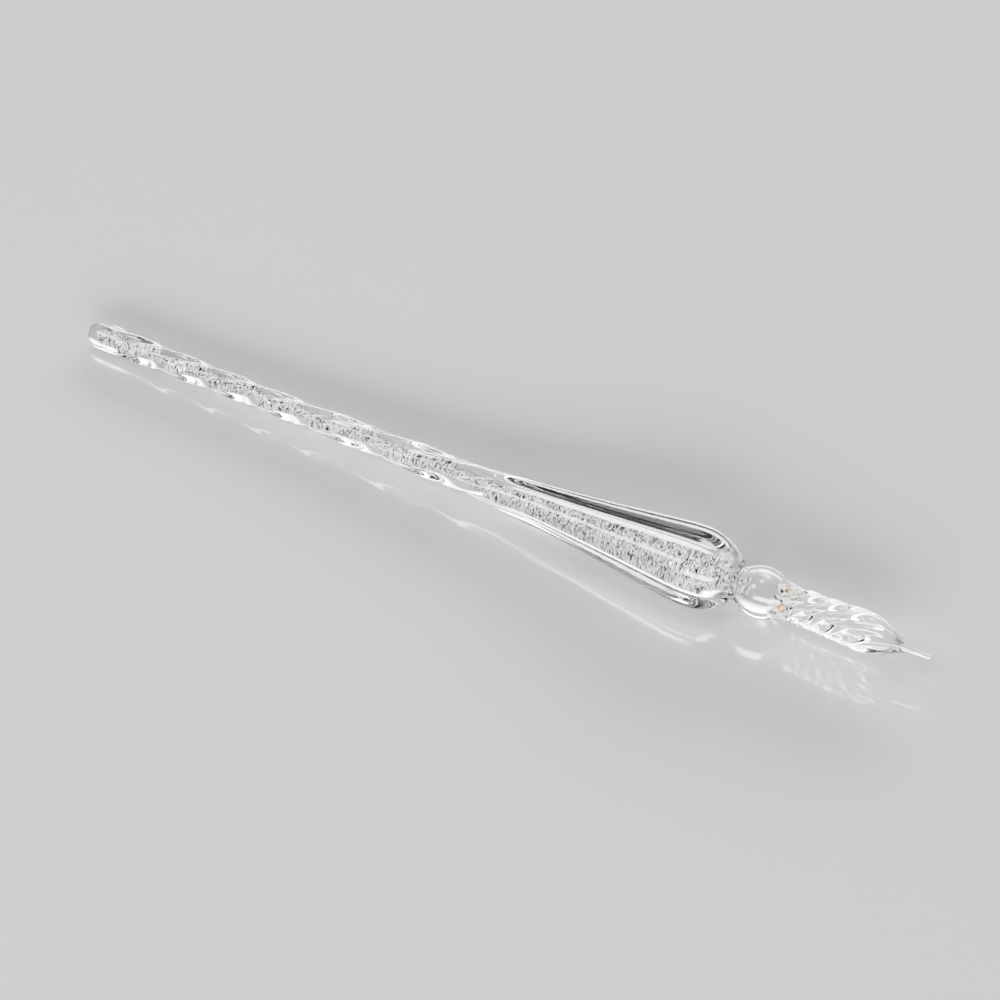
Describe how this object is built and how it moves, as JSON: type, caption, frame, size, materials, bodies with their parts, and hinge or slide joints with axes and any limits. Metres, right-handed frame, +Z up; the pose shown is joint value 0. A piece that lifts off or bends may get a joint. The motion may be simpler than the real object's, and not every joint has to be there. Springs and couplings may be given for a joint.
{
  "type": "dip pen",
  "caption": "Clear glass dip pen: twisted, ridged handle swelling into a bulb round a silver glitter core, a joint ball and a spiral-grooved nib.",
  "frame": {"origin": "centre of the bounding box, on the surface that the pen lies on", "axes": "+X from the tail to the writing tip, +Z up; the pen's own axis leans 1.78 degrees up towards the nib"},
  "size_m": [0.1778, 0.0134, 0.0133],
  "materials": {
    "handle_glass": "clear, fire polished",
    "nib_glass": "clear, fire polished, grooved",
    "silver_glitter": "silver flakes in clear glass"
  },
  "bodies": {
    "root": {"tail_knob": "handle_glass", "handle_casing": "handle_glass", "glitter_core": "silver_glitter", "joint_ball": "handle_glass", "nib_core_rod": "nib_glass", "nib_point": "nib_glass", "nib_strand_1": "nib_glass", "nib_strand_2": "nib_glass", "nib_strand_3": "nib_glass", "nib_strand_4": "nib_glass", "nib_strand_5": "nib_glass", "nib_strand_6": "nib_glass", "nib_strand_7": "nib_glass", "nib_strand_8": "nib_glass"}
  },
  "joints": []
}
